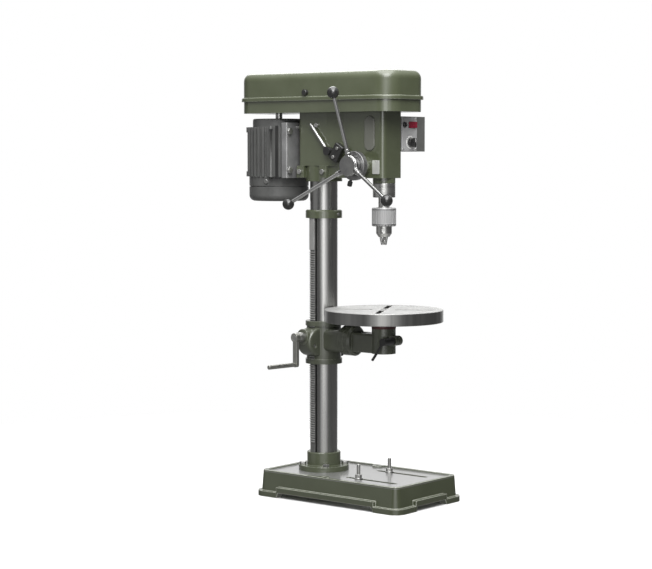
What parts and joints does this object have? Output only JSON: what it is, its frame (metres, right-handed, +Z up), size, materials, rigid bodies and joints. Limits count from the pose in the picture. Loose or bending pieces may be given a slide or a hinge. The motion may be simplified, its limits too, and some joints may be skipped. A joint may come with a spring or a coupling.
{
  "type": "bench drill press",
  "caption": "Bench drill press: slotted cast base, steel column with rack-lifted tilting round table, belt head with rear motor, lever-fed quill and keyed chuck",
  "frame": {"origin": "on the column axis, on the bench plane under the base's column foot", "axes": "+Z up along the column; -Y is the front, toward the chuck; -X is the side with the feed levers"},
  "size_m": [0.3657, 0.612, 1.145],
  "materials": {
    "olive_paint": "semi-gloss olive green machine enamel",
    "dark_paint": "satin charcoal enamel",
    "black_paint": "satin black enamel",
    "polished_steel": "ground and lightly oiled steel",
    "bright_chrome": "bright plated",
    "ground_iron": "surface-ground grey iron",
    "satin_aluminium": "satin cast and machined",
    "black_plastic": "moulded black phenolic",
    "red_plastic": "glossy red",
    "belt_rubber": "matte rubber"
  },
  "bodies": {
    "frame": {"base": "olive_paint", "column_flange": "olive_paint", "flange_bolts": "polished_steel", "column": "polished_steel", "rack_collar": "polished_steel", "head_casting": "olive_paint", "oval_cover": "olive_paint", "bare_plate": "satin_aluminium", "tension_block": "black_plastic", "set_screws": "polished_steel", "head_bearings": "polished_steel", "spring_cap": "olive_paint", "return_spring": "polished_steel", "belt_tray": "olive_paint", "drive_belt": "belt_rubber", "switch_box": "olive_paint", "switch_panel": "black_plastic"},
    "stud_near": {"clamp_stud_near": "polished_steel"},
    "stud_far": {"clamp_stud_far": "polished_steel"},
    "rack": {"lift_rack": "polished_steel"},
    "bracket": {"table_bracket": "olive_paint", "gear_pin": "polished_steel", "tilt_bolt": "polished_steel"},
    "gear": {"lift_gear": "polished_steel"},
    "crank": {"worm_shaft": "polished_steel", "crank_arm": "black_paint"},
    "grip": {"crank_grip": "black_plastic"},
    "lock": {"bracket_lock": "polished_steel"},
    "arm": {"table_arm": "olive_paint"},
    "handle": {"clamp_handle": "black_paint"},
    "worktable": {"table": "ground_iron"},
    "quill_unit": {"quill": "polished_steel", "quill_collar": "polished_steel", "quill_bearings": "polished_steel"},
    "spindle_unit": {"spindle": "polished_steel", "chuck_body": "polished_steel"},
    "sleeve": {"chuck_sleeve": "polished_steel"},
    "jaw_1": {"chuck_jaw_1": "polished_steel"},
    "jaw_2": {"chuck_jaw_2": "polished_steel"},
    "jaw_3": {"chuck_jaw_3": "polished_steel"},
    "pulley": {"drive_sleeve": "polished_steel", "spindle_pulley": "satin_aluminium"},
    "feed": {"pinion_shaft": "polished_steel", "feed_hub": "dark_paint", "feed_levers": "bright_chrome", "lever_knobs": "black_plastic"},
    "stop_ring": {"depth_ring": "satin_aluminium", "depth_knob": "black_plastic"},
    "motor": {"motor_frame": "dark_paint", "motor_bracket": "satin_aluminium", "slide_rods": "polished_steel", "motor_bolts": "polished_steel"},
    "rotor": {"motor_rotor": "polished_steel", "motor_pulley": "satin_aluminium"},
    "tension": {"tension_lever": "polished_steel"},
    "lid": {"belt_lid": "olive_paint"},
    "latch": {"lid_latch": "black_plastic"},
    "switch_rocker": {"rocker": "red_plastic"},
    "button": {"push_button": "black_plastic"},
    "selector": {"selector_knob": "black_plastic"}
  },
  "joints": [
    {"name": "table_swing", "type": "hinge", "parent": "frame", "child": "rack", "pos_m": [0, 0, 0.42], "axis": [0, 0, 1], "continuous": true},
    {"name": "table_lift", "type": "slide", "parent": "rack", "child": "bracket", "axis": [0, 0, 1], "range_m": [-0.225, 0.085]},
    {"name": "lift_gear_turn", "type": "hinge", "parent": "bracket", "child": "gear", "pos_m": [-0.05903, 0.00568, 0.4094], "axis": [0.0958, 0.9954, 0], "continuous": true},
    {"name": "crank_turn", "type": "hinge", "parent": "bracket", "child": "crank", "pos_m": [-0.09954, 0.00958, 0.434], "axis": [-0.9954, 0.0958, 0], "continuous": true},
    {"name": "grip_spin", "type": "hinge", "parent": "crank", "child": "grip", "pos_m": [-0.11945, 0.0115, 0.361], "axis": [-0.9954, 0.0958, 0], "continuous": true},
    {"name": "bracket_lock_turn", "type": "hinge", "parent": "bracket", "child": "lock", "pos_m": [0.074, 0, 0.425], "axis": [0, 1, 0], "range_deg": [-80, 30]},
    {"name": "table_tilt", "type": "hinge", "parent": "bracket", "child": "arm", "pos_m": [0, -0.096, 0.425], "axis": [0, 1, 0], "range_deg": [-45, 45]},
    {"name": "clamp_handle_turn", "type": "hinge", "parent": "arm", "child": "handle", "pos_m": [0, -0.2455, 0.433], "axis": [1, 0, 0], "range_deg": [-110, 40]},
    {"name": "table_turn", "type": "hinge", "parent": "arm", "child": "worktable", "pos_m": [0, -0.2055, 0.482], "axis": [0, 0, 1], "continuous": true},
    {"name": "quill_feed", "type": "slide", "parent": "frame", "child": "quill_unit", "axis": [0, 0, 1], "range_m": [-0.08, 0], "stiffness_N_per_m": 400, "springref_m": 0.25},
    {"name": "feed_turn", "type": "hinge", "parent": "frame", "child": "feed", "pos_m": [0, -0.17, 0.895], "axis": [1, 0, 0], "range_deg": [0, 353]},
    {"name": "depth_set", "type": "hinge", "parent": "feed", "child": "stop_ring", "pos_m": [-0.082, -0.17, 0.895], "axis": [1, 0, 0], "range_deg": [-150, 150]},
    {"name": "pulley_spin", "type": "hinge", "parent": "frame", "child": "pulley", "pos_m": [0, -0.2055, 1.05], "axis": [0, 0, 1], "continuous": true},
    {"name": "spindle_spin", "type": "hinge", "parent": "quill_unit", "child": "spindle_unit", "pos_m": [0, -0.2055, 0.9], "axis": [0, 0, 1], "continuous": true},
    {"name": "rotor_spin", "type": "hinge", "parent": "motor", "child": "rotor", "pos_m": [0, 0.16, 1.05], "axis": [0, 0, 1], "continuous": true},
    {"name": "sleeve_turn", "type": "hinge", "parent": "spindle_unit", "child": "sleeve", "pos_m": [0, -0.2055, 0.76], "axis": [0, 0, 1], "range_deg": [0, 2880]},
    {"name": "jaw_1_slide", "type": "slide", "parent": "spindle_unit", "child": "jaw_1", "axis": [0.1801, 0.104, 0.9781], "range_m": [0, 0.0201]},
    {"name": "jaw_2_slide", "type": "slide", "parent": "spindle_unit", "child": "jaw_2", "axis": [-0.1801, 0.104, 0.9781], "range_m": [0, 0.0201]},
    {"name": "jaw_3_slide", "type": "slide", "parent": "spindle_unit", "child": "jaw_3", "axis": [0, -0.2079, 0.9781], "range_m": [0, 0.0201]},
    {"name": "motor_slide", "type": "slide", "parent": "frame", "child": "motor", "axis": [0, -1, 0], "range_m": [0, 0.01]},
    {"name": "tension_turn", "type": "hinge", "parent": "frame", "child": "tension", "pos_m": [-0.055, -0.062, 0.933], "axis": [1, 0, 0], "range_deg": [-36, 0]},
    {"name": "lid_open", "type": "hinge", "parent": "frame", "child": "lid", "pos_m": [0.097, -0.0235, 1.062], "axis": [0, 1, 0], "range_deg": [0, 100]},
    {"name": "latch_turn", "type": "hinge", "parent": "lid", "child": "latch", "pos_m": [-0.085, -0.008, 1.089], "axis": [1, 0, 0], "range_deg": [0, 90]},
    {"name": "rocker_tilt", "type": "hinge", "parent": "frame", "child": "switch_rocker", "pos_m": [0.089, -0.227, 1.003], "axis": [0, 0, 1], "range_deg": [0, 15.5]},
    {"name": "button_press", "type": "slide", "parent": "frame", "child": "button", "axis": [0, 1, 0], "range_m": [0, 0.003], "stiffness_N_per_m": 600, "springref_m": -0.002},
    {"name": "selector_turn", "type": "hinge", "parent": "frame", "child": "selector", "pos_m": [0.08, -0.229, 0.956], "axis": [0, 1, 0], "range_deg": [-60, 60]},
    {"name": "stud_near_slide", "type": "slide", "parent": "frame", "child": "stud_near", "axis": [0, 1, 0], "range_m": [-0.118, 0.032]},
    {"name": "stud_far_slide", "type": "slide", "parent": "frame", "child": "stud_far", "axis": [0, 1, 0], "range_m": [-0.118, 0.032]}
  ],
  "couplings": [
    {"joint": "lift_gear_turn", "follows": "table_lift", "rad_per_m": 71.429},
    {"joint": "crank_turn", "follows": "table_lift", "rad_per_m": 1000},
    {"joint": "feed_turn", "follows": "quill_feed", "rad_per_m": -76.923},
    {"joint": "spindle_spin", "follows": "pulley_spin", "ratio": 1},
    {"joint": "rotor_spin", "follows": "pulley_spin", "ratio": 1},
    {"joint": "tension_turn", "follows": "motor_slide", "rad_per_m": -61},
    {"joint": "jaw_1_slide", "follows": "sleeve_turn", "m_per_rad": 0.00039789},
    {"joint": "jaw_2_slide", "follows": "sleeve_turn", "m_per_rad": 0.00039789},
    {"joint": "jaw_3_slide", "follows": "sleeve_turn", "m_per_rad": 0.00039789}
  ]
}
